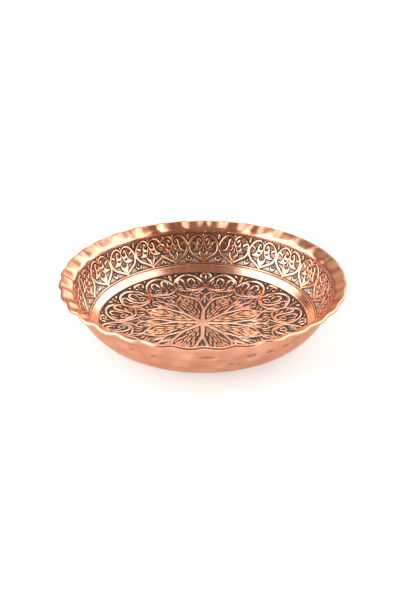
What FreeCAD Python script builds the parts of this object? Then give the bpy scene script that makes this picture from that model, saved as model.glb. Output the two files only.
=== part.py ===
# Deep fluted copper dish with an engraved medallion and a frieze of hearts.
#
# One raised sheet forms floor, wall and flared lip; its edge is rolled over a
# wire.  The grounds of both engraved zones are sunk and filled with a black
# compound that lies flush between the copper lines.
#
# Frame: millimetres, +Z up, origin at the centre of the resting face.
import FreeCAD, Part
import math
import os

Vec = FreeCAD.Vector

# ---- driving dimensions ----------------------------------------------------
SHEET = 1.0            # thickness of the raised sheet
FLOOR_R = 75.0         # radius of the flat part of the floor
KNEE_ARC = 33.0        # inner radius of the turn from floor to wall
KNEE_END = 47.0        # slope at the outer edge of the plain band, degrees
WALL_ARC = 54.5        # inner radius of the gently bellied wall
WALL_END = 80.0        # slope at the top of the wall, degrees
LIP_SLOPE = 30.0       # slope of the flared lip, degrees
LIP_BEND = 3.2         # length of the soft bend between wall and lip
BEAD_R = 122.0         # radius of the ring on which the rolled edge runs
WIRE_D = 1.4           # diameter of the wire inside the rolled edge
WIRE_FACES = 20        # faces round the section of the wire
FLUTES = 32            # waves around the lip
FLUTE_AMP = 0.7        # a wave moves the edge this far, in and up or out and down
FLUTE_RISE = 29.0      # angle of that movement above level
WAVE_SHARE = (0.0, 0.3, 0.85, 1.0, 1.0)   # how the wave grows from wall to edge

MEDAL_R = 92.0         # outer radius of the engraved medallion
FRIEZE_LOW = 12.4      # height of the lower edge of the heart frieze
FRIEZE_TOP = 38.4      # height of the upper edge of the heart frieze
GROUND = 0.35          # depth of the sunk grounds
PROUD = 0.05           # copper lines stand this much above the black filler

HUB_R = 4.2            # plain disc in the middle of the medallion
SPOKES = 8
SPOKE_W = 3.4          # width of a spoke
SPOKE_END = 31.0       # radius at which a spoke splits round its lozenge
LOZENGE_LEN = 15.0     # length of the lozenge
LOZENGE_W = 7.0        # width over the two bands that enclose it
LINE_W = 1.8           # width of the raised lines of the medallion
OVAL_RING = 76.2       # radius of the ring on which the ovals sit
OVAL_R = (14.2, 14.6)  # half size of an oval along and across the radius
NECK_END = 61.0        # radius at which a spoke's neck meets the ovals
OVAL_OFFSET = 12.1     # angle between an oval and its spoke, degrees
MEDAL_TURN = -1.7      # the medallion sits slightly turned, degrees

HEARTS = 23
HEART_PITCH = 15.77    # angle from one heart to the next, degrees
HEART_FIRST = 105.5    # the last heart crowds this first one, where the round closes
HEART_LINE = 1.7       # width of the raised outline of a heart

POLES_PER_FLUTE = 8


# ---- profile of the sheet --------------------------------------------------
def rad(deg):
    return math.radians(deg)


def arc_point(centre, radius, slope):
    """Point on an arc whose tangent there rises at the given slope."""
    r = centre[0] + radius * math.sin(rad(slope))
    z = centre[1] - radius * math.cos(rad(slope))
    return r, z


KNEE_C = (FLOOR_R, SHEET + KNEE_ARC)
BAND_END = arc_point(KNEE_C, KNEE_ARC, KNEE_END)
WALL_C = (BAND_END[0] - WALL_ARC * math.sin(rad(KNEE_END)),
          BAND_END[1] + WALL_ARC * math.cos(rad(KNEE_END)))


def knee(slope, depth):
    """Floor-to-wall turn, the given depth below the inner surface."""
    return arc_point(KNEE_C, KNEE_ARC + depth, slope)


def wall(slope, depth):
    """Bellied wall, the given depth below the inner surface."""
    return arc_point(WALL_C, WALL_ARC + depth, slope)


def at(rz, angle=0.0):
    return Vec(rz[0] * math.cos(angle), rz[0] * math.sin(angle), rz[1])


def arc_edge(func, s0, s1, depth):
    """Profile edge from slope s0 to slope s1, drawn in the XZ plane."""
    pts = [at(func(s, depth)) for s in (s0, 0.5 * (s0 + s1), s1)]
    return Part.Arc(*pts).toShape()


def knee_slope(radius):
    return math.degrees(math.asin((radius - KNEE_C[0]) / KNEE_ARC))


def wall_slope(height):
    return math.degrees(math.acos((WALL_C[1] - height) / WALL_ARC))


def revolve(edges):
    """Faces swept by profile edges about the vertical axis."""
    faces = []
    for edge in edges:
        swept = edge.revolve(Vec(0, 0, 0), Vec(0, 0, 1), 360)
        faces.extend(swept.Faces)
    return faces


def line(a, b):
    return Part.makeLine(at(a), at(b))


def solid_of(faces, tol=1e-4):
    shell = Part.makeShell(faces)
    shell.sewShape(tol)
    if shell.ShapeType == "Compound":
        shell = shell.Shells[0]
    solid = Part.makeSolid(shell)
    if solid.Volume < 0:
        solid.reverse()
    return solid


# ---- fluted lip and rolled edge --------------------------------------------
LIP_DIR = (math.cos(rad(LIP_SLOPE)), math.sin(rad(LIP_SLOPE)))
LIP_NORMAL = (-LIP_DIR[1], LIP_DIR[0])
WALL_DIR = (math.cos(rad(WALL_END)), math.sin(rad(WALL_END)))
POLES = POLES_PER_FLUTE * FLUTES
STEP = 2 * math.pi / POLES
FLUTE_DIR = (-math.cos(rad(FLUTE_RISE)), math.sin(rad(FLUTE_RISE)))
MEAN_GAIN = 3.0 / (2.0 + math.cos(STEP))
WAVE_GAIN = 3.0 / (2.0 + math.cos(2 * math.pi / POLES_PER_FLUTE))


def ring_poles(rz, share):
    """Control ring for one profile point that takes a share of the wave."""
    row = []
    for k in range(POLES):
        a = k * STEP
        w = FLUTE_AMP * share * WAVE_GAIN * math.cos(FLUTES * a)
        r = rz[0] * MEAN_GAIN + w * FLUTE_DIR[0]
        row.append(Vec(r * math.cos(a), r * math.sin(a), rz[1] + w * FLUTE_DIR[1]))
    return row


def fluted_face(profile, shares):
    """Surface round the axis whose section is a Bezier curve."""
    rows = [ring_poles(p, s) for p, s in zip(profile, shares)]
    poles = [list(column) for column in zip(*rows)]
    surf = Part.BSplineSurface()
    n = len(profile)
    knots = [float(k) for k in range(POLES + 1)]
    surf.buildFromPolesMultsKnots(poles, [1] * (POLES + 1), [n, n], knots,
                                  [0.0, 1.0], True, False, 3, n - 1)
    return surf.toShape()


def along(p, direction, length):
    return p[0] + direction[0] * length, p[1] + direction[1] * length


def quarter(centre, radius, start, turn):
    """Bezier control points of an arc of at most a quarter turn."""
    k = 4.0 / 3.0 * math.tan(rad(turn) / 4) * radius
    a, b = rad(start), rad(start + turn)
    p0 = (centre[0] + radius * math.cos(a), centre[1] + radius * math.sin(a))
    p3 = (centre[0] + radius * math.cos(b), centre[1] + radius * math.sin(b))
    p1 = (p0[0] - k * math.sin(a), p0[1] + k * math.cos(a))
    p2 = (p3[0] + k * math.sin(b), p3[1] - k * math.cos(b))
    return [p0, p1, p2, p3]


def lip_and_bead():
    """Faces of lip and rolled edge, and the centre of the rolled edge."""
    bead = WIRE_D / 2 + SHEET
    inner0 = wall(WALL_END, 0.0)
    outer0 = wall(WALL_END, SHEET)
    knuckle = along(inner0, WALL_DIR, LIP_BEND * 0.5)
    reach = (BEAD_R - knuckle[0]) / LIP_DIR[0]
    tip = along(knuckle, LIP_DIR, reach)
    centre = along(tip, LIP_NORMAL, -bead)
    start = 90.0 + LIP_SLOPE
    bend = along(knuckle, LIP_DIR, LIP_BEND)
    third = along(bend, LIP_DIR, (reach - LIP_BEND) * 0.5)
    top = [inner0, knuckle, bend, third, tip]
    faces = [fluted_face(top, WAVE_SHARE)]
    # the curl closes on the underside of the lip
    close = math.degrees(math.acos((bead - SHEET) / bead))
    sweep = 360.0 - close
    for k in range(4):
        part = quarter(centre, bead, start - sweep * k / 4, -sweep / 4)
        faces.append(fluted_face(part, (1.0,) * 4))
        last = part[-1]
    knuckle2 = along(outer0, WALL_DIR, LIP_BEND * 0.5 - SHEET * 0.4)
    bend2 = along(bend, LIP_NORMAL, -SHEET)
    third2 = along(third, LIP_NORMAL, -SHEET)
    under = [outer0, knuckle2, bend2, third2, last]
    faces.append(fluted_face(under, WAVE_SHARE))
    return faces, centre


def wire_core(centre):
    faces = []
    turn = 360.0 / WIRE_FACES
    for k in range(WIRE_FACES):
        part = quarter(centre, WIRE_D / 2, turn * k, turn)
        faces.append(fluted_face(part, (1.0,) * 4))
    return solid_of(faces)


# ---- engraved zones ---------------------------------------------------------
def zone_solid(func, s0, s1, top, bottom, centre_disc):
    """Thin revolved zone between two depths below the inner surface."""
    edges = [arc_edge(func, s0, s1, top),
             line(func(s1, top), func(s1, bottom)),
             arc_edge(func, s1, s0, bottom)]
    if centre_disc:
        edges.append(line(func(s0, bottom), (0.0, func(s0, bottom)[1])))
        edges.append(line((0.0, func(s0, bottom)[1]), (0.0, func(s0, top)[1])))
        edges.append(line((0.0, func(s0, top)[1]), func(s0, top)))
    else:
        edges.append(line(func(s0, bottom), func(s0, top)))
    wire = Part.Wire(Part.__sortEdges__(edges))
    return Part.Face(wire).revolve(Vec(0, 0, 0), Vec(0, 0, 1), 360)


def prism(points, z0=-1.0, height=14.0):
    """Upright prism over a closed polygon given in plan."""
    pts = [Vec(x, y, z0) for x, y in points]
    wire = Part.makePolygon(pts + [pts[0]])
    return Part.Face(wire).extrude(Vec(0, 0, height))


def turned(shape, degrees):
    copy = shape.copy()
    copy.rotate(Vec(0, 0, 0), Vec(0, 0, 1), degrees)
    return copy


def spoke():
    """One spoke along +X with the two bands that enclose its lozenge."""
    half = SPOKE_W / 2
    a = SPOKE_END
    b = SPOKE_END + LOZENGE_LEN
    mid = 0.5 * (a + b)
    neck = LINE_W / 2
    outer = [(0.0, half), (a - 3, half), (mid, LOZENGE_W / 2), (b + 1, neck),
             (NECK_END, neck), (NECK_END, -neck), (b + 1, -neck),
             (mid, -LOZENGE_W / 2), (a - 3, -half), (0.0, -half)]
    inside = LOZENGE_W / 2 - LINE_W
    inner = [(a, 0.0), (mid, inside), (b - 1.0, 0.0), (mid, -inside)]
    return prism(outer).cut(prism(inner))


def oval_ring():
    """Raised oval outline centred on the ring of ovals along +X."""
    def body(a, b):
        e = Part.Ellipse(Vec(OVAL_RING, 0, -1.0), a, b)
        return Part.Face(Part.Wire(e.toShape())).extrude(Vec(0, 0, 14))
    a, b = OVAL_R
    ring = body(b, a).cut(body(b - LINE_W, a - LINE_W))
    ring.rotate(Vec(OVAL_RING, 0, 0), Vec(0, 0, 1), 90)
    return ring


def medallion_lines():
    lines = [Part.makeCylinder(HUB_R, 14.0, Vec(0, 0, -1))]
    for k in range(SPOKES):
        axis = k * 360.0 / SPOKES + MEDAL_TURN
        lines.append(turned(spoke(), axis))
        lines.append(turned(oval_ring(), axis + OVAL_OFFSET))
        lines.append(turned(oval_ring(), axis - OVAL_OFFSET))
    return lines


def heart_outline(scale_w, scale_h, drop):
    """Heart in plan view of the wall: across and up, point at the bottom."""
    w = scale_w
    h = scale_h
    mid = 0.5 * (FRIEZE_LOW + FRIEZE_TOP) + drop
    notch = (0.0, mid + 0.30 * h)
    lobe = (0.27 * w, mid + 0.47 * h)
    side = (0.50 * w, mid + 0.16 * h)
    hip = (0.30 * w, mid - 0.28 * h)
    point = (0.0, mid - 0.50 * h)
    return [notch, lobe, side, hip, point]


def heart_face(w, h, drop):
    """Face standing in front of the wall on the +X side."""
    right = heart_outline(w, h, drop)
    left = [(-x, z) for x, z in right]
    x0 = 70.0
    edges = []
    for half in (right, left):
        curve = Part.BSplineCurve()
        curve.interpolate([Vec(x0, y, z) for y, z in half])
        edges.append(curve.toShape())
    return Part.Face(Part.Wire(Part.__sortEdges__(edges)))


def heart_line():
    """Raised outline of one heart, spread outwards from the axis."""
    pitch = rad(HEART_PITCH) * 70.0
    h = FRIEZE_TOP - FRIEZE_LOW - 1.6
    wide = pitch * 1.03
    thin = HEART_LINE * 70.0 / 107.0
    big = heart_face(wide, h, 0.0)
    small = heart_face(wide - 2 * thin, h - 2 * HEART_LINE, 0.0)
    return big.cut(small)


def spread(face, factor):
    """Solid between a face and its copy scaled sideways away from the axis."""
    m = FreeCAD.Matrix()
    m.A11 = factor
    m.A22 = factor
    far = face.transformGeometry(m)
    solids = []
    for near_wire, far_wire in zip(face.Faces[0].Wires, far.Faces[0].Wires):
        loft = Part.makeLoft([near_wire, far_wire], True, True)
        solids.append(loft)
    solids.sort(key=lambda s: -s.Volume)
    return solids[0].cut(solids[1])


def frieze_lines():
    one = spread(heart_line(), 1.8)
    return [turned(one, HEART_FIRST - k * HEART_PITCH) for k in range(HEARTS)]


def engraved(func, s0, s1, lines, centre_disc):
    """Recess cut from the sheet and the filler that lies in it."""
    recess = zone_solid(func, s0, s1, -1.0, GROUND, centre_disc)
    filler = zone_solid(func, s0, s1, PROUD, GROUND, centre_disc)
    stamp = lines[0].multiFuse(lines[1:])
    return recess.cut(stamp), filler.cut(stamp)


# ---- assembly -----------------------------------------------------------------
def build():
    lip, centre = lip_and_bead()
    inner = [line((0.0, SHEET), (FLOOR_R, SHEET)),
             arc_edge(knee, 0.0, KNEE_END, 0.0),
             arc_edge(wall, KNEE_END, WALL_END, 0.0)]
    outer = [line((0.0, 0.0), (FLOOR_R, 0.0)),
             arc_edge(knee, 0.0, KNEE_END, SHEET),
             arc_edge(wall, KNEE_END, WALL_END, SHEET)]
    body = solid_of(revolve(inner) + revolve(outer) + lip)
    wire = wire_core(centre)

    medal_cut, medal_fill = engraved(
        knee, 0.0, knee_slope(MEDAL_R), medallion_lines(), True)
    frieze_cut, frieze_fill = engraved(
        wall, wall_slope(FRIEZE_LOW), wall_slope(FRIEZE_TOP), frieze_lines(), False)
    body = body.cut(medal_cut).cut(frieze_cut).cut(wire)
    return {"copper_body": body, "rim_wire": wire,
            "medallion_fill": medal_fill, "frieze_fill": frieze_fill}


os.makedirs("parts", exist_ok=True)
for name, shape in build().items():
    shape.exportStep("parts/" + name + ".step")
    box = shape.BoundBox
    print(name, shape.ShapeType, len(shape.Solids), "solids",
          len(shape.Faces), "faces", "valid", shape.isValid(),
          "volume", round(shape.Volume, 1),
          "z", round(box.ZMin, 2), round(box.ZMax, 2),
          "r", round(box.XMax, 2))
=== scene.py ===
import math
import bpy
import numpy as np
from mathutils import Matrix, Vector


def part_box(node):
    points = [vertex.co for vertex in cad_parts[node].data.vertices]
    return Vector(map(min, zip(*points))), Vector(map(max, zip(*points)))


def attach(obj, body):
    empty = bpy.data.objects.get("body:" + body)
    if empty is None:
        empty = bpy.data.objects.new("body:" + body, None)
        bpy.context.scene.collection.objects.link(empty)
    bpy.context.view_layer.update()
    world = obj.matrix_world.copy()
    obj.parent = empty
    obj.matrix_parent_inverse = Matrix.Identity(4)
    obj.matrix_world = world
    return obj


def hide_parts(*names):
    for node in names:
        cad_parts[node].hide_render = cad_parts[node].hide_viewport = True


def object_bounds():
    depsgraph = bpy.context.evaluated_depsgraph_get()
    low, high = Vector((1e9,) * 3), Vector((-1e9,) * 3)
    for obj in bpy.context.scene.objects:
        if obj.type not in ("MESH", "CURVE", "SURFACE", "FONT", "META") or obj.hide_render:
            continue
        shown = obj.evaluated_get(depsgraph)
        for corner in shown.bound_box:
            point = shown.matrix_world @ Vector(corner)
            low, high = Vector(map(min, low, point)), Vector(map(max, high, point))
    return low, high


# Looks of the fluted copper dish. Lengths are in millimetres until a mesh is made.
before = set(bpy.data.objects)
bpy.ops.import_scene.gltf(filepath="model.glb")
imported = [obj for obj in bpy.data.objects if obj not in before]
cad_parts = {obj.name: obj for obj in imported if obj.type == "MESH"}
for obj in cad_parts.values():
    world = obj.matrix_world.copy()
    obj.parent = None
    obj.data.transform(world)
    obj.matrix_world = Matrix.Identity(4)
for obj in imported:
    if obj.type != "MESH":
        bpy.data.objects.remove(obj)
cad_lo, cad_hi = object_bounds()
MM = 1000.0
rng = np.random.default_rng(11)

# ---- sizes shared with the solids --------------------------------------------
SHEET = 1.0
FLOOR_R = 75.0
KNEE_ARC, KNEE_END = 33.0, math.radians(47.0)
WALL_ARC, WALL_END = 54.5, math.radians(80.0)
LIP_SLOPE, LIP_BEND = math.radians(30.0), 3.2
WIRE_R = 0.7
BEAD = WIRE_R + SHEET
FLUTES, FLUTE_AMP, FLUTE_RISE = 32, 0.7, math.radians(29.0)
WAVE_SHARE = (0.0, 0.3, 0.85, 1.0, 1.0)
FLUTE_DIR = (-math.cos(FLUTE_RISE), math.sin(FLUTE_RISE))
BEAD_R = (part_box("rim_wire")[1].x * MM / math.cos(math.pi / FLUTES) - WIRE_R
          + FLUTE_AMP * FLUTE_DIR[0] - BEAD * math.sin(LIP_SLOPE))
MEDAL_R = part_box("medallion_fill")[1].x * MM - 0.1
FRIEZE_Z = (12.4, 38.4)
FILL = 0.34                  # the black filler lies this far below the plain copper
SUNK = 0.85                  # depth of the chased ground

KNEE_LEN = KNEE_ARC * KNEE_END
WALL_LEN = WALL_ARC * (WALL_END - KNEE_END)
S_BAND = FLOOR_R + KNEE_LEN
S_WALL = S_BAND + WALL_LEN
BAND_R = FLOOR_R + KNEE_ARC * math.sin(KNEE_END)
WALL_CR = BAND_R - WALL_ARC * math.sin(KNEE_END)
WALL_CZ = SHEET + KNEE_ARC * (1 - math.cos(KNEE_END)) + WALL_ARC * math.cos(KNEE_END)


def inner(s, h=0.0):
    """Point (r, z) at arc length s on the inner surface, raised by h along its normal."""
    s = np.asarray(s, float)
    knee = np.clip((s - FLOOR_R) / KNEE_ARC, 0.0, KNEE_END)
    turn = KNEE_END + np.clip(s - S_BAND, 0.0, None) / WALL_ARC
    slope = np.where(s < S_BAND, knee, turn)
    r_low = np.minimum(s, FLOOR_R) + KNEE_ARC * np.sin(knee)
    z_low = SHEET + KNEE_ARC * (1 - np.cos(knee))
    r = np.where(s < S_BAND, r_low, WALL_CR + WALL_ARC * np.sin(turn))
    z = np.where(s < S_BAND, z_low, WALL_CZ - WALL_ARC * np.cos(turn))
    return r - h * np.sin(slope), z + h * np.cos(slope)


def s_of_r(r):
    return FLOOR_R + KNEE_ARC * math.asin((r - FLOOR_R) / KNEE_ARC) if r > FLOOR_R else r


def s_of_z(z):
    return S_BAND + WALL_ARC * (math.acos((WALL_CZ - z) / WALL_ARC) - KNEE_END)


# ---- mesh helpers --------------------------------------------------------------
def strip(a0, na, b0, nb):
    """Faces between two rings; one ring may have a multiple of the other's points."""
    if na == nb:
        j = np.arange(na)
        k = (j + 1) % na
        quad = np.stack([a0 + j, b0 + j, b0 + k, a0 + k], -1)
        return [tuple(q) for q in quad.tolist()]
    faces = []
    few, many = min(na, nb), max(na, nb)
    m = many // few
    f0, m0 = (a0, b0) if na < nb else (b0, a0)
    for j in range(few):
        this, following = f0 + j, f0 + (j + 1) % few
        fan = [m0 + (m * j + i) % many for i in range(m + 1)]
        half = m // 2 if few > 1 else m
        tris = [(this, fan[i], fan[i + 1]) for i in range(half)]
        if few > 1:
            tris.append((this, fan[half], following))
            tris += [(following, fan[i], fan[i + 1]) for i in range(half, m)]
        faces += tris if na < nb else [t[::-1] for t in tris]
    return faces


def skin(name, rings, node, mat, loop=False, flat=(), attrs=None):
    """Closed surface through a list of rings of points; flat strips keep a hard edge."""
    starts = np.concatenate([[0], np.cumsum([len(q) for q in rings])])
    pairs = list(zip(range(len(rings) - 1), range(1, len(rings))))
    if loop:
        pairs.append((len(rings) - 1, 0))
    faces, smooth = [], []
    for i, k in pairs:
        new = strip(int(starts[i]), len(rings[i]), int(starts[k]), len(rings[k]))
        faces += new
        smooth += [i not in flat] * len(new)
    verts = np.vstack(rings) / MM
    tri = np.array([f[:3] for f in faces] + [(f[0], f[2], f[3]) for f in faces if len(f) == 4])
    volume = np.einsum("ij,ij->i", verts[tri[:, 0]],
                       np.cross(verts[tri[:, 1]], verts[tri[:, 2]])).sum()
    if volume < 0:
        faces = [f[::-1] for f in faces]
    mesh = bpy.data.meshes.new(name)
    mesh.from_pydata([tuple(v) for v in verts.tolist()], [], faces)
    mesh.polygons.foreach_set("use_smooth", smooth)
    mesh.update()
    for key, values in (attrs or {}).items():
        layer = mesh.attributes.new(key, "FLOAT", "POINT")
        layer.data.foreach_set("value", np.asarray(values, np.float32))
    mesh.materials.append(mat)
    ob = bpy.data.objects.new(name, mesh)
    bpy.context.scene.collection.objects.link(ob)
    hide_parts(node)
    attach(ob, "root")
    return ob


def angles(cols):
    return np.arange(cols) * 2 * math.pi / cols


def ring(r, z, theta):
    r, z, theta = np.broadcast_arrays(r, z, theta)
    return np.stack([r * np.cos(theta), r * np.sin(theta), z], -1)


# ---- strokes: drawn lines with a width at each point ----------------------------
def smooth_stroke(points, widths, n=7):
    """Catmull-Rom curve through the points."""
    p = np.column_stack([np.asarray(points, float), np.asarray(widths, float)])
    p = np.vstack([2 * p[0] - p[1], p, 2 * p[-1] - p[-2]])
    t = np.linspace(0, 1, n, endpoint=False)[:, None]
    out = []
    for a, b, c, d in zip(p[:-3], p[1:-2], p[2:-1], p[3:]):
        out.append(0.5 * (2 * b + (c - a) * t + (2 * a - 5 * b + 4 * c - d) * t ** 2
                          + (3 * b - a - 3 * c + d) * t ** 3))
    out.append(p[-2][None, :])
    q = np.vstack(out)
    q[:, 2] = np.maximum(q[:, 2], 0.15)
    return q


def lines_distance(px, py, strokes, reach=2.2):
    """Distance to the nearest stroke's edge, negative inside, for each point."""
    d = np.full(px.shape, reach)
    for q in strokes:
        pad = reach + q[:, 2].max() / 2
        near = ((px > q[:, 0].min() - pad) & (px < q[:, 0].max() + pad)
                & (py > q[:, 1].min() - pad) & (py < q[:, 1].max() + pad))
        idx = np.nonzero(near)[0]
        if not len(idx):
            continue
        a, b = q[:-1], q[1:]
        e = b - a
        l2 = np.maximum(e[:, 0] ** 2 + e[:, 1] ** 2, 1e-9)
        for part in np.array_split(idx, max(1, len(idx) // 40000)):
            x, y = px[part][:, None], py[part][:, None]
            t = np.clip(((x - a[:, 0]) * e[:, 0] + (y - a[:, 1]) * e[:, 1]) / l2, 0, 1)
            gap = np.hypot(x - a[:, 0] - t * e[:, 0], y - a[:, 1] - t * e[:, 1])
            gap = gap - 0.5 * (a[:, 2] + t * e[:, 2])
            d[part] = np.minimum(d[part], gap.min(1))
    return d


def closed_curve(points, n=6):
    """Smooth closed curve through the points."""
    p = np.asarray(points, float)
    t = np.linspace(0, 1, n, endpoint=False)[:, None]
    out = []
    for i in range(len(p)):
        a, b, c, d = p[i - 1], p[i], p[(i + 1) % len(p)], p[(i + 2) % len(p)]
        out.append(0.5 * (2 * b + (c - a) * t + (2 * a - 5 * b + 4 * c - d) * t ** 2
                          + (3 * b - a - 3 * c + d) * t ** 3))
    return np.vstack(out)


def shapes_distance(px, py, shapes, reach=2.2):
    """Signed distance to filled shapes, negative inside."""
    total = np.full(px.shape, reach)
    for q in shapes:
        near = ((px > q[:, 0].min() - reach) & (px < q[:, 0].max() + reach)
                & (py > q[:, 1].min() - reach) & (py < q[:, 1].max() + reach))
        idx = np.nonzero(near)[0]
        if not len(idx):
            continue
        x, y = px[idx][:, None], py[idx][:, None]
        b = np.roll(q, -1, 0)
        e = b - q
        t = ((x - q[:, 0]) * e[:, 0] + (y - q[:, 1]) * e[:, 1]) / (e ** 2).sum(1).clip(1e-9)
        t = t.clip(0, 1)
        gap = np.hypot(x - q[:, 0] - t * e[:, 0], y - q[:, 1] - t * e[:, 1]).min(1)
        rise = np.where(np.abs(e[:, 1]) < 1e-9, 1e-9, e[:, 1])
        hit = ((q[:, 1] > y) != (b[:, 1] > y)) & (x < q[:, 0] + (y - q[:, 1]) * e[:, 0] / rise)
        total[idx] = np.minimum(total[idx], np.where(hit.sum(1) % 2 == 1, -gap, gap))
    return total


def chased(d, small, s):
    """Height of the copper at distance d from a line's edge: crowned line, sunk ground."""
    ramp = np.clip((d + 0.36) / 0.86, 0, 1)
    fall = ramp * ramp * (3 - 2 * ramp)
    if s < S_BAND:
        crown = 0.38 * (1 - np.exp(np.minimum(d, 0) / 0.7)) - 0.14 * small
    else:
        crown = 0.17 * (1 - np.exp(np.minimum(d, 0) / 0.4)) - 0.05 * small
    return -SUNK * fall + crown * np.clip((S_WALL - s) / 2.0, 0, 1)


# ---- floor medallion -----------------------------------------------------------
SPOKES = 8
MEDAL_TURN = math.radians(-1.7)
OVAL_AT = (76.2, math.radians(12.1))
OVAL_HALF = (14.6, 14.2)
HALF = math.pi / SPOKES


def oval_stroke():
    """Line of one oval, set in its half sector."""
    cx = OVAL_AT[0] * math.sin(OVAL_AT[1])
    cy = OVAL_AT[0] * math.cos(OVAL_AT[1])
    pts = []
    for k in range(61):
        a = 2 * math.pi * k / 60
        u = (OVAL_HALF[0] - 0.9) * math.cos(a)
        v = (OVAL_HALF[1] - 0.9) * math.sin(a)
        pts.append((cx + u * math.cos(OVAL_AT[1]) + v * math.sin(OVAL_AT[1]),
                    cy - u * math.sin(OVAL_AT[1]) + v * math.cos(OVAL_AT[1])))
    return smooth_stroke(pts, [2.3] * 61, 2)


def medallion_strokes():
    """Strokes of one half sector: x across the spoke, y along it."""
    cx = OVAL_AT[0] * math.sin(OVAL_AT[1])
    cy = OVAL_AT[0] * math.cos(OVAL_AT[1])
    made, small = [oval_stroke()], []

    def add(points, widths, in_oval=False, fat=1.12, into=made):
        if in_oval:
            points = [(cx + 0.91 * x, cy + 0.98 * y) for x, y in points]
        into.append(smooth_stroke(points, [fat * w for w in widths]))

    # spoke, lozenge and the branch that bounds the petal
    add([(0, 1), (0, 14), (0, 27)], [5.2, 4.1, 3.4], fat=1)
    add([(0, 24), (1.8, 30), (3.8, 37), (3.9, 41.5), (2.2, 47), (0, 52)],
        [3.2, 2.7, 2.3, 2.1, 2.0, 2.0], fat=1.1)
    add([(3.2, 34.0), (5.2, 40.5), (8.2, 44.8), (13, 48), (18.5, 50.6), (23, 53.6),
         (26, 58.2), (26.8, 64)], [2.2, 2.3, 2.2, 2.1, 2.0, 1.9, 1.5, 0.5], fat=1.15)
    # neck above the lozenge and the two curls beside it
    add([(0, 51), (0, 56), (0, 61), (0, 67)], [2.0, 1.5, 1.3, 0.5])
    add([(0.2, 52.5), (2.2, 56.3), (5.4, 58.6), (8.8, 57.6), (10, 54.6), (8.6, 51.9),
         (6, 51.8), (5, 53.8), (6.4, 55.2)], [1.6, 1.5, 1.5, 1.5, 1.4, 1.2, 1.1, 1.1, 1.5])
    add([(3.2, 61.2), (5.0, 63.6), (4.6, 66.2)], [.7, 2.0, .6], into=small)
    add([(9.6, 60.4), (11.6, 59.4), (12.4, 57.2)], [.6, 1.8, .6], into=small)
    # strands that cross where the ovals meet
    add([(2.4, 80.5), (1.2, 76), (-0.2, 71.5), (-2.2, 66.4), (-5.4, 61.2), (-9.4, 56.6),
         (-13, 51.2)], [1.4, 1.7, 1.7, 1.7, 1.6, 1.4, 0.4])
    # scrolls inside the oval
    add([(10.2, .6), (12.2, 2.8), (11.2, 6.2), (8.2, 7.2), (5.6, 4.6), (4.2, 0), (2.8, -5),
         (0, -9.0), (-4.2, -10.4), (-8.2, -9.0), (-10.2, -5.4), (-8.8, -1.4), (-5.4, -.4),
         (-3.2, -3), (-4.2, -6.0), (-6.6, -6.0), (-7.0, -4.2)],
        [1.3, 1.6, 1.9, 2.2, 2.7, 3.0, 3.0, 2.7, 2.3, 1.9, 1.8, 1.7, 1.6, 1.5, 1.4, 1.4, 1.9],
        True, 1.0)
    add([(-6, 2), (-6, 6.5), (-3, 9.6), (.6, 8.4), (1.4, 4.6), (.2, 0), (-1.6, -3.4)],
        [1.0, 1.7, 2.1, 2.4, 2.4, 2.0, .7], True, 1.0)
    add([(5.6, -6.4), (8.2, -3.2), (11.6, -2.2)], [.9, 2.3, .7], True, into=small)
    add([(4.0, -10.2), (8, -7.9), (11.2, -5.8)], [.7, 2.0, .7], True, into=small)
    add([(-11.4, 1.2), (-10.4, 5), (-8.0, 9.0)], [.8, 2.3, .8], True, into=small)
    add([(1.0, 12.0), (4.8, 11.2), (9.0, 9.6)], [.7, 1.8, .7], True, into=small)
    # palmette on the edge above the crossing
    add([(0, 90.4), (2.9, 90.4), (4.9, 88.8), (4.3, 86.6), (2.7, 86.2)],
        [1.6, 1.8, 1.8, 1.6, 1.2])
    add([(0, 88), (0, 83.4)], [2.2, .7])
    add([(7.6, 91.0), (9.6, 90.2), (11.0, 90.6)], [.8, 1.6, .7], into=small)
    # filler leaves on the edge between two pairs of ovals
    add([(34.6, 83.6), (33.3, 80.4), (32.2, 77.2)], [2.8, 2.2, .6], into=small)
    add([(28.4, 87.6), (29.4, 85.2), (31.4, 83.2)], [1.8, 1.6, .6], into=small)
    # leaves below the oval
    add([(14.6, 52.6), (12.9, 55.6), (12.2, 58.8)], [.9, 2.0, .6], into=small)
    add([(17, 53.2), (16.8, 56.6), (16.2, 59.6)], [.9, 2.1, .6], into=small)
    add([(19.2, 54.2), (20.8, 57.4), (20.6, 61.2)], [.9, 2.1, .6], into=small)
    add([(22.6, 57.6), (23.8, 60.6), (23.4, 63.6)], [.7, 1.6, .6], into=small)
    return made, small


def petal_strokes():
    """Veined leaf inside a petal: lanes of long chips that lean away from the rib."""
    made = []
    tip = 54.5
    for lane, (off, start, end) in enumerate(((0.9, 9.5, 53), (3.5, 14.5, 49.5),
                                              (6.1, 20, 46.5), (8.7, 26.5, 43))):
        y = start + (0.0, 2.5, 1.2, 3.0)[lane]
        piece = 0
        while y < end - 3:
            reach = min((8.5, 7.2, 9.0, 6.6)[(piece + lane) % 4], end - y)
            q = []
            for t in (0.0, 0.5, 1.0):
                fwd = y + reach * t
                pull = math.sin(math.pi * min(fwd / tip, 1.0)) ** 0.6
                side = off * pull + 1.5 * t * min(1.0, lane + 0.3) + 0.25 * math.sin(math.pi * t)
                q.append((math.sin(HALF) * fwd - math.cos(HALF) * side,
                          math.cos(HALF) * fwd + math.sin(HALF) * side))
            clear = min(x - max(2.4, 2.4 + 0.25 * (y0 - 36)) for x, y0 in q)
            if clear > 0.5:
                made.append(smooth_stroke(q, [1.5, 2.4, 1.2], 4))
            y += reach + 1.5
            piece += 1
    return made


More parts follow.
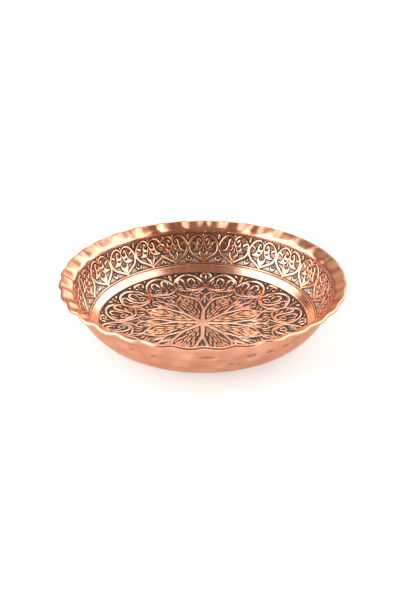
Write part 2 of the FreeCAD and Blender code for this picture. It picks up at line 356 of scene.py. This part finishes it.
def mirrored(q, angle):
    """Stroke reflected in the line through the centre at this angle from the y axis."""
    c, s = math.cos(2 * angle), math.sin(2 * angle)
    x = -q[:, 0] * c + q[:, 1] * s
    y = q[:, 0] * s + q[:, 1] * c
    return np.column_stack([x, y, q[:, 2]])


def wobble(x, y, size):
    """Small drift of the hand, the same everywhere it is asked for."""
    dx = np.sin(x / 13.0 + 1.7) * np.cos(y / 17.0 - 0.4) + 0.6 * np.sin(y / 7.3 + x / 19.0)
    dy = np.cos(x / 15.0 - 0.9) * np.sin(y / 12.0 + 2.1) + 0.6 * np.sin(x / 8.1 - y / 23.0)
    return x + size * dx, y + size * dy


def unfolded(strokes):
    """Strokes with the neighbours that reach over the sector's two borders."""
    return (strokes + [mirrored(q, 0.0) for q in strokes]
            + [mirrored(q, HALF) for q in strokes])


MEDAL_LINES, MEDAL_SMALL = [unfolded(q) for q in medallion_strokes()]
PETAL_LINES = unfolded(petal_strokes())
PETAL_SLIP = rng.uniform(-1.6, 1.6, 2 * SPOKES)


def medallion_distance(x, y):
    """Distance to the copper of the medallion, and how far it is a low stroke."""
    r = np.hypot(x, y)
    wx, wy = wobble(x, y, 0.36)
    a = np.arctan2(wy, wx) - MEDAL_TURN
    rr = np.hypot(wx, wy)
    sector = np.floor(a / HALF).astype(int) % (2 * SPOKES)
    a = np.abs((a + HALF) % (2 * HALF) - HALF)
    px, py = rr * np.sin(a), rr * np.cos(a)
    slip = rr + PETAL_SLIP[sector] * np.clip((rr - 6) / 20, 0, 1)
    low = np.minimum(lines_distance(px, py, MEDAL_SMALL),
                     lines_distance(slip * np.sin(a), slip * np.cos(a), PETAL_LINES))
    edge = MEDAL_R + 0.25 * np.sin(3 * np.arctan2(y, x)) + 0.15 * np.sin(7 * np.arctan2(y, x))
    d = np.minimum(lines_distance(px, py, MEDAL_LINES), np.minimum(rr - 5.6, edge - r))
    low = np.maximum(low, 0.85 - d)
    return np.minimum(d, low), np.clip(0.5 + 1.6 * (d - low), 0, 1)


# ---- heart frieze ----------------------------------------------------------------
PITCH = math.radians(15.77)
HEARTS = 23
HEART_AT = [math.radians(105.5) - k * PITCH for k in range(HEARTS)]
MID_R = 107.0
S_LOW, S_TOP = s_of_z(FRIEZE_Z[0]), s_of_z(FRIEZE_Z[1])
CELL_W, CELL_H = PITCH * MID_R, S_TOP - S_LOW


def cell(points):
    return [(u * CELL_W, v * CELL_H) for u, v in points]


def both_sides(curves):
    return curves + [q * np.array([-1.0, 1.0, 1.0][:q.shape[1]]) for q in curves]


HEART_SIDE = [(0, .66), (.012, .76), (.07, .86), (.17, .905), (.28, .875), (.37, .795),
              (.44, .685), (.476, .575), (.475, .47), (.445, .365), (.365, .265), (.25, .19),
              (.13, .115), (0, .035)]
OUTLINE = both_sides([smooth_stroke(cell(HEART_SIDE),
                                    [1.8, 1.8, 1.9, 2.0, 2.0, 2.0, 2.1, 2.2, 2.4, 2.5, 2.6,
                                     2.6, 2.4, 2.1]),
                      smooth_stroke(cell([(.5, .945), (.5, .89), (.5, .80)]), [.7, 1.8, 2.3])])
HEART_FACE = np.array(cell(HEART_SIDE + [(-u, v) for u, v in HEART_SIDE[-2:0:-1]]))

# paisley leaf in each lobe, tulip bud at the point, small bud between two hearts
LEAVES = both_sides([
    closed_curve(cell([(.152, .825), (.188, .765), (.212, .69), (.222, .61), (.245, .535),
                       (.285, .475), (.345, .44), (.415, .425), (.34, .385), (.235, .365),
                       (.14, .38), (.072, .435), (.03, .52), (.006, .61), (.03, .675),
                       (.06, .73), (.10, .79)])),
    closed_curve(cell([(0, .095), (.055, .125), (.115, .19), (.15, .27), (.15, .345),
                       (.118, .425), (.10, .36), (.07, .31), (.03, .285), (0, .275)])),
    closed_curve(cell([(.5, .035), (.45, .05), (.408, .10), (.392, .15), (.395, .235),
                       (.425, .17), (.455, .135), (.5, .12)]))])
MOTIF = both_sides([
    smooth_stroke(cell([(.285, .62), (.33, .655), (.378, .69)]), [1.6, 2.5, 1.8]),
    smooth_stroke(cell([(0, .535), (0, .43), (0, .36)]), [.8, 1.1, .9]),
    smooth_stroke(cell([(0, .945), (0, .90), (0, .85)]), [.8, 1.9, .9]),
    smooth_stroke(cell([(.5, .255), (.5, .175)]), [.5, 1.0])])
RUNGS = both_sides([smooth_stroke(cell([a, b]), [.85, .95], 3) for a, b in (
    ((.20, .79), (.245, .86)), ((.215, .755), (.29, .84)), ((.23, .715), (.335, .805)),
    ((.245, .672), (.285, .705)), ((.365, .775), (.335, .745)), ((.262, .575), (.30, .60)),
    ((.39, .655), (.425, .675)), ((.275, .535), (.435, .62)), ((.30, .50), (.445, .57)),
    ((.345, .475), (.445, .515)))])
# dark cuts: the curl of the leaf's head and a tick across its blade
CUTS = both_sides([
    smooth_stroke(cell([(.045, .77), (.05, .70), (.075, .645), (.115, .64), (.135, .68),
                        (.125, .725)]), [1.0, 1.2, 1.2, 1.1, .9, .5]),
    smooth_stroke(cell([(.085, .525), (.135, .50), (.195, .53)]), [.4, 1.2, .5])])


def frieze_distance(theta, s):
    """Distance to the copper of the frieze, and how far it is a low stroke."""
    out, low = np.full(theta.shape, 2.2), np.full(theta.shape, 2.2)
    for k, at in enumerate(HEART_AT):
        off = (at - theta + math.pi) % (2 * math.pi) - math.pi
        idx = np.nonzero(np.abs(off) < 0.62 * PITCH)[0]
        grow = 1 + 0.012 * math.sin(2.4 * k)
        x = off[idx] * MID_R * grow + 0.25 * math.sin(1.9 * k + 0.5)
        y = (s[idx] - S_LOW) * grow + 0.22 * math.sin(1.3 * k)
        x, y = wobble(x, y + 31.0 * k, 0.15)
        y = y - 31.0 * k
        line = lines_distance(x, y, OUTLINE)
        # the last heart runs into the first: neither outline crosses the other heart
        for this, other in ((0, HEARTS - 1), (HEARTS - 1, 0)):
            if k == this:
                gap = (HEART_AT[other] - HEART_AT[k] + math.pi) % (2 * math.pi) - math.pi
                line = np.maximum(line, -shapes_distance(x + gap * MID_R, y, [HEART_FACE]) - .4)
        motif = np.minimum(lines_distance(x, y, MOTIF), shapes_distance(x, y, LEAVES))
        motif = np.maximum(motif, -lines_distance(x, y, CUTS))
        out[idx] = np.minimum(out[idx], np.minimum(line, motif))
        low[idx] = np.minimum(low[idx], lines_distance(x, y, RUNGS))
    top = S_TOP + 0.25 * np.sin(9 * theta) + 0.2 * np.sin(23 * theta + 1.0)
    out = np.minimum(out, np.minimum(top - s, s - S_LOW + 0.1 * np.sin(11 * theta)))
    return np.minimum(out, low), np.clip(0.5 + 1.6 * (out - low), 0, 1)


# ---- materials -------------------------------------------------------------------
class Nodes:
    """Short hand for building a node tree."""

    def __init__(self, mat):
        mat.use_nodes = True
        self.tree = mat.node_tree
        self.tree.nodes.clear()
        self.out = self.tree.nodes.new("ShaderNodeOutputMaterial")
        self.bsdf = self.tree.nodes.new("ShaderNodeBsdfPrincipled")
        self.link(self.bsdf.outputs[0], self.out.inputs[0])
        self.obj = self.tree.nodes.new("ShaderNodeTexCoord").outputs["Object"]

    def link(self, a, b):
        self.tree.links.new(a, b)

    def put(self, socket, value):
        if hasattr(value, "is_output"):
            self.link(value, socket)
        else:
            socket.default_value = value

    def noise(self, scale, detail=3.0, rough=0.5, distort=0.0):
        n = self.tree.nodes.new("ShaderNodeTexNoise")
        n.inputs["Scale"].default_value = scale
        n.inputs["Detail"].default_value = detail
        n.inputs["Roughness"].default_value = rough
        n.inputs["Distortion"].default_value = distort
        self.link(self.obj, n.inputs["Vector"])
        return n.outputs["Fac"]

    def xyz(self):
        sep = self.tree.nodes.new("ShaderNodeSeparateXYZ")
        self.link(self.obj, sep.inputs[0])
        return sep.outputs

    def polar(self, turns, up):
        """Coordinates that run round the axis and up the wall, for brushed lines."""
        x, y, z = self.xyz()
        ang = self.math("ARCTAN2", y, x)
        rad = self.math("SQRT", self.math("ADD", self.math("POWER", x, 2.0),
                                          self.math("POWER", y, 2.0)))
        comb = self.tree.nodes.new("ShaderNodeCombineXYZ")
        self.link(self.math("MULTIPLY", ang, turns), comb.inputs[0])
        self.link(self.math("MULTIPLY", self.math("ADD", rad, z), up), comb.inputs[1])
        return comb.outputs[0]

    def noise_at(self, vector, scale, detail=3.0):
        n = self.tree.nodes.new("ShaderNodeTexNoise")
        n.inputs["Scale"].default_value = scale
        n.inputs["Detail"].default_value = detail
        self.link(vector, n.inputs["Vector"])
        return n.outputs["Fac"]

    def cells(self, scale):
        v = self.tree.nodes.new("ShaderNodeTexVoronoi")
        v.inputs["Scale"].default_value = scale
        self.link(self.obj, v.inputs["Vector"])
        return v.outputs["Distance"]

    def math(self, op, a, b=0.0):
        m = self.tree.nodes.new("ShaderNodeMath")
        m.operation = op
        self.put(m.inputs[0], a)
        self.put(m.inputs[1], b)
        return m.outputs[0]

    def span(self, value, lo, hi, to_lo=0.0, to_hi=1.0):
        m = self.tree.nodes.new("ShaderNodeMapRange")
        m.interpolation_type = "SMOOTHSTEP"
        self.put(m.inputs["Value"], value)
        m.inputs["From Min"].default_value = lo
        m.inputs["From Max"].default_value = hi
        m.inputs["To Min"].default_value = to_lo
        m.inputs["To Max"].default_value = to_hi
        return m.outputs["Result"]

    def mix(self, fac, a, b):
        m = self.tree.nodes.new("ShaderNodeMix")
        m.data_type = "RGBA"
        self.put(m.inputs[0], fac)
        self.put(m.inputs[6], a if hasattr(a, "is_output") else (*a, 1.0))
        self.put(m.inputs[7], b if hasattr(b, "is_output") else (*b, 1.0))
        return m.outputs[2]

    def attr(self, name):
        a = self.tree.nodes.new("ShaderNodeAttribute")
        a.attribute_name = name
        return a.outputs["Fac"]

    def bump(self, height, strength, distance):
        b = self.tree.nodes.new("ShaderNodeBump")
        b.inputs["Strength"].default_value = strength
        b.inputs["Distance"].default_value = distance
        self.link(height, b.inputs["Height"])
        self.link(b.outputs[0], self.bsdf.inputs["Normal"])

    def set(self, name, value):
        self.put(self.bsdf.inputs[name], value)


def copper(name, light, dark, rough, relief=False, brushed=0.5, stain=0.3):
    """Hand worked copper: tone drifts, brushed lines, fine scratches and small stains."""
    mat = bpy.data.materials.new(name)
    n = Nodes(mat)
    broad = n.span(n.noise(38.0, 4.0, 0.6), 0.36, 0.66)
    fine = n.span(n.noise(260.0, 3.0, 0.6), 0.3, 0.7)
    brush = n.noise_at(n.polar(3.0, 900.0), 1.0, 4.0)
    brushed_line = n.span(brush, 0.35, 0.68)
    colour = n.mix(broad, dark, light)
    streak = n.span(n.noise_at(n.polar(2.2, 150.0), 1.0, 3.0), 0.40, 0.66)
    colour = n.mix(n.math("MULTIPLY", streak, 0.35), colour, tuple(0.84 * c for c in dark))
    colour = n.mix(n.math("MULTIPLY", brushed_line, 0.35 * brushed), colour,
                   tuple(0.72 * c for c in dark))
    speck = n.span(n.noise(120.0, 6.0, 0.7, distort=0.6), 0.60, 0.74)
    colour = n.mix(n.math("MULTIPLY", speck, stain), colour, (0.34, 0.13, 0.075))
    rough_map = n.span(n.math("ADD", n.math("MULTIPLY", brushed_line, 0.6),
                              n.math("MULTIPLY", fine, 0.4)), 0.0, 1.0, rough - 0.05,
                       rough + 0.08)
    if relief:
        gold = n.span(n.noise(24.0, 2.0, 0.5, distort=0.8), 0.50, 0.64)
        colour = n.mix(n.math("MULTIPLY", gold, 0.25), colour, (0.88, 0.46, 0.19))
        colour = n.mix(n.math("MULTIPLY", n.attr("low"), 0.6), colour, (0.66, 0.30, 0.14))
        edge = n.span(n.attr("edge"), -0.46, 0.0)
        grime = n.math("MULTIPLY", edge, n.span(fine, 0.0, 1.0, 0.85, 1.0))
        colour = n.mix(grime, colour, (0.020, 0.014, 0.012))
        n.set("Roughness", n.math("ADD", n.math("MULTIPLY", edge, 0.35), rough_map))
        n.set("Metallic", n.span(n.attr("edge"), -0.3, 0.1, 1.0, 0.1))
    else:
        # painted shade: darker towards the left and right sides, more so on the right, where the
        # reflections are dimmer; and darker and redder near the foot, where the outside reflects
        # the shadowed floor
        x, _, z = n.xyz()
        # painted shade at the sides, weighted towards the right
        reach = n.math("ADD", n.math("ABSOLUTE", x), n.math("MULTIPLY", x, 0.25))
        side_shade = n.span(n.math("ADD", reach, n.math("MULTIPLY", broad, 0.03)), 0.02, 0.17)
        colour = n.mix(n.math("MULTIPLY", side_shade, 0.62), colour, (0.60, 0.29, 0.19))
        # painted shade: darker and redder towards the bottom, for the shadowed floor reflected
        # near the contact
        contact_shade = n.span(z, 0.004, 0.028, 0.55, 0.0)
        colour = n.mix(contact_shade, colour, (0.80, 0.36, 0.21))
        between = n.span(n.attr("facet"), 0.0, 0.55, 0.34, 0.0)
        colour = n.mix(between, colour, (0.52, 0.24, 0.155))
        mark = n.span(n.attr("mark"), 0.05, 0.8)
        colour = n.mix(n.math("MULTIPLY", mark, 0.8), colour, (0.40, 0.17, 0.10))
        n.set("Roughness", n.math("ADD", n.math("MULTIPLY", mark, 0.1), rough_map))
        n.bsdf.inputs["Metallic"].default_value = 1.0
        n.bsdf.inputs["Specular Tint"].default_value = (0.90, 0.72, 0.62, 1)
    n.set("Base Color", colour)
    n.bump(n.math("ADD", n.math("MULTIPLY", brush, brushed), n.math("MULTIPLY", fine, 0.4)),
           0.25, 0.00012)
    return mat


def black_filler(name, open_tone, sheen):
    """Dull black filler, scraped to a grey brown sheen where the ground is open."""
    mat = bpy.data.materials.new(name)
    n = Nodes(mat)
    grain = n.noise(900.0, 3.0, 0.6)
    pits = n.cells(850.0)
    clouds = n.span(n.noise(95.0, 4.0, 0.6), 0.35, 0.65)
    away = n.span(n.attr("edge"), 0.30, 1.3)
    hatch = n.noise_at(n.polar(90.0, 1400.0), 1.0, 2.0)
    scraped = n.math("MULTIPLY", away, n.span(hatch, 0.38, 0.60, 0.35, 1.0))
    scraped = n.math("MULTIPLY", scraped, n.span(n.xyz()[2], 0.021, 0.033, 1.0, 0.35))
    tone = n.mix(clouds, (0.006, 0.005, 0.005), (0.016, 0.013, 0.012))
    n.set("Base Color", n.mix(scraped, tone, open_tone))
    n.set("Metallic", n.math("MULTIPLY", scraped, sheen))
    n.set("Roughness", n.span(grain, 0.2, 0.8, 0.40, 0.62))
    n.bsdf.inputs["Specular IOR Level"].default_value = 0.3
    n.bump(n.math("ADD", grain, n.math("MULTIPLY", pits, 0.8)), 0.5, 0.0002)
    return mat


def wire_steel(name):
    """Drawn iron wire with a little rust."""
    mat = bpy.data.materials.new(name)
    n = Nodes(mat)
    drawn = n.noise_at(n.polar(2.0, 2500.0), 1.0, 3.0)
    rust = n.span(n.noise(180.0, 5.0, 0.65), 0.52, 0.7)
    n.set("Base Color", n.mix(rust, (0.42, 0.41, 0.40), (0.20, 0.10, 0.06)))
    n.set("Roughness", n.span(drawn, 0.3, 0.7, 0.3, 0.55))
    n.set("Metallic", n.span(rust, 0.0, 1.0, 1.0, 0.4))
    n.bump(drawn, 0.3, 0.0001)
    return mat


COPPER_OUT = copper("copper_worked", (0.90, 0.49, 0.34), (0.74, 0.33, 0.21), 0.17,
                    brushed=0.5, stain=0.35)
COPPER_CUT = copper("copper_chased", (0.90, 0.53, 0.385), (0.77, 0.37, 0.23), 0.17,
                    relief=True, brushed=0.6, stain=0.3)
BLACK_FLOOR = black_filler("filler_black", (0.08, 0.07, 0.07), 0.4)
BLACK_WALL = black_filler("filler_scraped", (0.52, 0.405, 0.34), 0.85)
WIRE = wire_steel("wire_drawn")


# ---- chased surfaces ---------------------------------------------------------------
DEEP = -0.9                  # back of the chased pieces
TUCK_STEP, TUCK_SINK = 0.5, 0.03


def floor_distance(theta, s):
    r, _ = inner(s)
    return medallion_distance(r * np.cos(theta), r * np.sin(theta))


def field(distance, s_values, cols):
    """Distance field sampled on rings of the inner surface."""
    tt, ss = [q.ravel() for q in np.meshgrid(angles(cols), s_values)]
    d, small = distance(tt, ss)
    return zip(d.reshape(-1, cols), small.reshape(-1, cols))


def chased_piece(name, bands, distance, under, tuck=False):
    """Raised lines over a sunk ground; bands give rings from the middle outwards.

    A tucked piece has one more ring, just under the edge of the piece that follows it.
    """
    rings, edge, low = [], [], []

    def row(s, d, small, sink=0.0):
        r, z = inner(s, chased(d, small, s) - sink)
        rings.append(ring(r, z, angles(len(d))))
        edge.append(d)
        low.append(small)

    def back(s, cols):
        r, z = inner(s, DEEP)
        rings.append(ring(r, z, angles(cols)))
        edge.append(np.full(cols, -2.0))
        low.append(np.zeros(cols))

    for values, cols in bands:
        for s, (d, small) in zip(values, field(distance, values, cols)):
            row(s, d, small)
    if tuck:
        s = bands[-1][0][-1] + TUCK_STEP
        row(s, *next(field(distance, [s], bands[-1][1])), sink=TUCK_SINK)
    outer = len(rings) - 1
    for s in under:
        back(s, bands[-1][1] if s > 0 else 1)
    middle = len(rings[0]) == 1
    if not middle:
        back(bands[0][0][0], bands[0][1])
    return skin(name, rings, "copper_body", COPPER_CUT, loop=not middle,
                flat=(outer, len(rings) - 1),
                attrs={"edge": np.concatenate(edge), "low": np.concatenate(low)})


def filler_piece(name, values, cols, node, mat, distance):
    """Thin closed slab of filler that follows the floor or the wall."""
    rings, edge = [], []
    for i, (s, (d, _)) in enumerate(zip(values, field(distance, values, cols))):
        h = -FILL - 0.10 * np.clip(d - 0.2, 0, 1.2) + 0.03 * np.sin(31 * angles(cols) + 2.1 * i)
        r, z = inner(s, h)
        rings.append(ring(r, z, angles(cols)))
        edge.append(d)
    n = len(rings)
    under = np.linspace(values[-1], values[0], math.ceil((values[-1] - values[0]) / 2.5))
    for s in under:
        r, z = inner(s, -SUNK + 0.04)
        rings.append(ring(r, z, angles(cols)))
        edge.append(np.full(cols, 2.0))
    return skin(name, rings, node, mat, loop=True,
                flat=(n - 1, n + len(under) - 1),
                attrs={"edge": np.concatenate(edge)})


# ---- outside, lip and rolled edge ----------------------------------------------------
LINING = -0.93               # inner face of the shell, hidden under the chased pieces
DENT_DEEP, MARK_DEEP = 0.24, 0.22
STAND, SPARE = 0.42, 0.05    # extra thickness that the hammer work is cut into
BEAD_START = 120.0           # angle at which the lip meets the rolled edge
LIP_DIR = np.array([math.cos(LIP_SLOPE), math.sin(LIP_SLOPE)])
LIP_NORMAL = np.array([-LIP_DIR[1], LIP_DIR[0]])
WALL_DIR = np.array([math.cos(WALL_END), math.sin(WALL_END)])


def bezier(points, t):
    p = np.asarray(points, float)
    n = len(p) - 1
    basis = np.stack([math.comb(n, i) * t ** i * (1 - t) ** (n - i) for i in range(n + 1)], 1)
    return basis @ p


def lip_profile():
    """Section of lip and rolled edge: points (r, z) and their share of the wave."""
    inner0 = np.array(inner(S_WALL))
    outer0 = np.array(inner(S_WALL, -SHEET))
    knuckle = inner0 + WALL_DIR * LIP_BEND * 0.5
    reach = (BEAD_R - knuckle[0]) / LIP_DIR[0]
    tip = knuckle + LIP_DIR * reach
    centre = tip - LIP_NORMAL * BEAD
    bend = knuckle + LIP_DIR * LIP_BEND
    third = bend + LIP_DIR * (reach - LIP_BEND) * 0.5
    share = np.array(WAVE_SHARE)
    t = np.linspace(0, 1, 27)
    top = bezier([inner0, knuckle, bend, third, tip], t)
    top_share = bezier(share[:, None], t)[:, 0]
    close = math.degrees(math.acos((BEAD - SHEET) / BEAD))
    a = np.radians(BEAD_START - np.linspace(0, 360.0 - close, 20))[1:]
    bead = centre + BEAD * np.stack([np.cos(a), np.sin(a)], 1)
    knuckle2 = outer0 + WALL_DIR * (LIP_BEND * 0.5 - SHEET * 0.4)
    under = bezier([bead[-1], third - LIP_NORMAL * SHEET, bend - LIP_NORMAL * SHEET,
                    knuckle2, outer0], t[::2])[1:]
    under_share = bezier(share[::-1][:, None], t[::2])[1:, 0]
    points = np.vstack([top, bead, under])
    shares = np.concatenate([top_share, np.ones(len(bead)), under_share])
    return points, shares, centre


def flute(theta):
    """Height of the flutes round the lip: thirty-two waves, none quite like the next."""
    drift = 0.30 * np.sin(theta + 0.8) + 0.25 * np.sin(3 * theta + 2.0)
    tall = 1.05 + 0.35 * np.cos(theta - 3.4) + 0.10 * np.sin(5 * theta + 0.6)
    turn = FLUTES * theta + drift
    return FLUTE_AMP * tall * (np.cos(turn) + 0.16 * np.cos(2 * turn + 0.5))


DENTS, MARKS = [], []
for row_s, count in ((S_BAND + 25, 34), (S_BAND + 14, 30), (S_BAND + 3, 28),
                     (S_BAND - 10, 24), (S_BAND - 21, 20), (66, 17), (54, 14), (42, 11),
                     (30, 8), (18, 5), (5, 2)):
    for k in range(count):
        DENTS.append((2 * math.pi * (k + rng.uniform(-.35, .35)) / count,
                      row_s + rng.uniform(-4, 4), rng.uniform(4.5, 7.5),
                      rng.uniform(0.10, DENT_DEEP), 1.45))
for k in range(64):
    MARKS.append((rng.uniform(0, 2 * math.pi), rng.uniform(S_BAND - 24, S_WALL - 9),
                  rng.uniform(0.6, 1.3), rng.uniform(0.05, 0.12), rng.uniform(1.6, 4.5)))
for deg, down, size, long in ((271.7, 9, 2.1, 4.0), (290.5, 12, 2.2, 2.8), (299, 12, 1.8, 2.6),
                              (307, 11, 1.8, 2.4), (282, 19, 1.4, 2.2), (285.5, 21, 1.3, 2.0),
                              (239, 11, 1.5, 2.2), (249, 13, 1.4, 2.0), (196, 12, 1.6, 2.4),
                              (30, 14, 1.7, 2.6), (112, 10, 1.8, 3.0), (150, 15, 1.6, 2.2)):
    MARKS.append((math.radians(deg), S_WALL - down, size, MARK_DEEP, long))


def hammered(theta, s, marks):
    """Depth of the dents or marks on the outside."""
    h = np.zeros(theta.shape)
    r, _ = inner(s)
    for at, s0, size, deep, long in marks:
        along = ((theta - at + math.pi) % (2 * math.pi) - math.pi) * np.maximum(r, 6.0)
        near = (np.abs(along) < long * size) & (np.abs(s - s0) < size)
        q = (along[near] / (long * size)) ** 2 + ((s[near] - s0) / size) ** 2
        h[near] = np.maximum(h[near], deep * np.clip(1 - q, 0, 1) ** 0.8)
    return h


def shell_piece():
    """Lip, rolled edge and hammered outside, closed by a hidden lining."""
    cols = 576
    th = angles(cols)
    points, shares, _ = lip_profile()
    w = flute(th)
    inside = np.concatenate([np.linspace(8, FLOOR_R, 4), np.linspace(FLOOR_R, S_BAND, 8)[1:],
                             np.linspace(S_BAND, S_WALL, 9)[1:]])
    rings = [np.array([[0.0, 0.0, SHEET + LINING]])]
    dark, facet = [np.zeros(1)], [np.ones(1)]
    for s in inside:
        r, z = inner(s, LINING)
        rings.append(ring(r, z, th))
    for (r, z), share in zip(points, shares):
        rings.append(ring(r + share * w * FLUTE_DIR[0], z + share * w * FLUTE_DIR[1], th))
    dark += [np.zeros(cols)] * (len(rings) - 1)
    facet += [np.ones(cols)] * (len(rings) - 1)
    seam = len(inside)
    for s in np.concatenate([np.linspace(S_WALL, S_BAND, 40)[1:],
                             np.linspace(S_BAND, FLOOR_R, 28)[1:],
                             np.linspace(FLOOR_R, 3.0, 19)[1:]]):
        fade = min(1.0, (S_WALL - s) / 3.0)
        stand = STAND * fade * min(1.0, max(0.0, (s - FLOOR_R) / 14.0)) ** 2
        depth = (stand + SPARE) / (STAND + SPARE)
        ss = np.full(cols, s)
        cut, dent = hammered(th, ss, MARKS), hammered(th, ss, DENTS)
        r, z = inner(ss, -SHEET - stand + depth * (dent + cut))
        rings.append(ring(r, z, th))
        dark.append(cut / MARK_DEEP * fade)
        facet.append(np.maximum(dent / DENT_DEEP, 1 - fade))
    rings.append(np.array([[0.0, 0.0, 0.0]]))
    dark.append(np.zeros(1))
    facet.append(np.ones(1))
    return skin("dish_shell", rings, "copper_body", COPPER_OUT, flat=(seam,),
                attrs={"mark": np.concatenate(dark), "facet": np.concatenate(facet)})


def wire_piece():
    """Wire core that follows the waves of the rolled edge."""
    th = angles(640)
    _, _, centre = lip_profile()
    w = flute(th)
    rings = []
    for a in angles(12):
        rings.append(ring(centre[0] + WIRE_R * math.cos(a) + w * FLUTE_DIR[0],
                          centre[1] + WIRE_R * math.sin(a) + w * FLUTE_DIR[1], th))
    return skin("wire_core", rings, "rim_wire", WIRE, loop=True)



SEAM = 52.0                  # the medallion is made in two pieces, parted at this radius
S_MEDAL = s_of_r(MEDAL_R)
chased_piece("medallion_centre",
             [(np.array([0.0]), 1), (np.arange(0.8, 4.4, 0.8), 132),
              (np.arange(4.8, 16, 0.42), 528), (np.linspace(16.2, SEAM, 72), 1056)],
             floor_distance, [30.0, 8.0, 0.0], tuck=True)
chased_piece("medallion_ring",
             [(np.linspace(SEAM, S_MEDAL + 1.0, 78), 1056),
              (np.linspace(S_MEDAL + 2.2, S_BAND, 5), 1056)],
             floor_distance, np.linspace(S_BAND - 4, FLOOR_R, 7))
chased_piece("frieze_chasing", [(np.linspace(S_BAND, S_WALL, 58), 23 * 64)],
             frieze_distance, np.linspace(S_WALL - 4, S_BAND + 4, 7))
filler_piece("medallion_filler", np.linspace(1.0, S_MEDAL + 0.6, 150), 528,
             "medallion_fill", BLACK_FLOOR, floor_distance)
filler_piece("frieze_filler", np.linspace(S_LOW - 0.5, S_TOP + 0.5, 44), 23 * 44,
             "frieze_fill", BLACK_WALL, frieze_distance)
shell_piece()
wire_piece()

# ---- floor, light and camera -------------------------------------------------------------
bpy.ops.mesh.primitive_plane_add(size=12.0, location=(0, 0, cad_lo.z))
floor = bpy.context.object
floor.name = "floor"
paper = bpy.data.materials.new("paper")
paper.use_nodes = True
paper_bsdf = paper.node_tree.nodes["Principled BSDF"]
paper_bsdf.inputs["Base Color"].default_value = (0.42, 0.41, 0.40, 1)
paper_bsdf.inputs["Roughness"].default_value = 0.8
paper_bsdf.inputs["Emission Color"].default_value = (0.96, 0.98, 0.98, 1)
paper_bsdf.inputs["Emission Strength"].default_value = 0.565
floor.data.materials.append(paper)

world = bpy.data.worlds.new("studio")
bpy.context.scene.world = world
world.use_nodes = True
tree = world.node_tree
# direction, half angle and soft edge in degrees, level
PANELS = (((-1.0, 0.0, 0.74), 30, 5, 4.0),
          ((0.02, 0.55, 0.83), 10, 4, 4.5),
          ((-0.87, -0.43, 0.26), 20, 6, 4.6),
          ((0.87, -0.43, 0.26), 17, 7, 2.2),
          ((1.0, 0.20, 0.72), 30, 6, 3.2),
          ((0.0, 1.0, 0.55), 24, 11, 0.72),
          ((0.52, 0.85, 0.13), 15, 8, 2.6),
          ((0.66, 0.60, 0.43), 10, 6, 3.4),
          ((-0.25, 0.20, 0.90), 6, 3, 2.5),
          ((0.30, 0.10, 0.90), 5, 3, 2.5))
ROOM = (0.34, 0.245, 0.19)


def studio_math(op, a, b=0.0):
    m = tree.nodes.new("ShaderNodeMath")
    m.operation = op
    for socket, value in zip(m.inputs, (a, b)):
        if hasattr(value, "is_output"):
            tree.links.new(value, socket)
        else:
            socket.default_value = value
    return m.outputs[0]


def panel(direction, half_deg, soft_deg, level):
    """Soft round light panel of the studio, seen from the dish."""
    toward = Vector(direction).normalized()
    dot = tree.nodes.new("ShaderNodeVectorMath")
    dot.operation = "DOT_PRODUCT"
    tree.links.new(sky.outputs["Generated"], dot.inputs[0])
    dot.inputs[1].default_value = toward
    m = tree.nodes.new("ShaderNodeMapRange")
    m.interpolation_type = "SMOOTHSTEP"
    tree.links.new(dot.outputs["Value"], m.inputs["Value"])
    m.inputs["From Min"].default_value = math.cos(math.radians(half_deg + soft_deg))
    m.inputs["From Max"].default_value = math.cos(math.radians(half_deg - soft_deg))
    m.inputs["To Max"].default_value = level
    return m.outputs["Result"]


sky = tree.nodes.new("ShaderNodeTexCoord")
total = 0.0
for direction, half_deg, soft_deg, level in PANELS:
    total = studio_math("ADD", panel(direction, half_deg, soft_deg, level), total)
# the room itself is dim and warm; seen directly it is plain pale
hue = tree.nodes.new("ShaderNodeCombineXYZ")
for socket, tone in zip(hue.inputs, ROOM):
    tree.links.new(studio_math("ADD", total, tone), socket)
seen = tree.nodes.new("ShaderNodeLightPath")
plain = tree.nodes.new("ShaderNodeMix")
plain.data_type = "RGBA"
tree.links.new(seen.outputs["Is Camera Ray"], plain.inputs[0])
tree.links.new(hue.outputs[0], plain.inputs[6])
plain.inputs[7].default_value = (0.95, 0.95, 0.95, 1)
tree.links.new(plain.outputs[2], tree.nodes["Background"].inputs["Color"])

REACH = 1.0                                  # camera distance from the floor's centre
ELEV = math.radians(28.6)
AIM_RIGHT, AIM_UP = -0.00227, 0.01936        # the camera aims a little off the dish's middle
centre = Vector((0, 0, SHEET / MM))
back = Vector((0, -math.cos(ELEV), math.sin(ELEV)))
up = Vector((0, math.sin(ELEV), math.cos(ELEV)))
aim = centre + Vector((1, 0, 0)) * AIM_RIGHT + up * AIM_UP
cam_data = bpy.data.cameras.new("camera")
cam = bpy.data.objects.new("camera", cam_data)
cam.location = centre + back * REACH
cam.rotation_mode = "QUATERNION"
cam.rotation_quaternion = (aim - cam.location).to_track_quat("-Z", "Y")
cam_data.lens = 67.4
bpy.context.scene.collection.objects.link(cam)
bpy.context.scene.camera = cam
bpy.context.scene.view_settings.view_transform = "Standard"
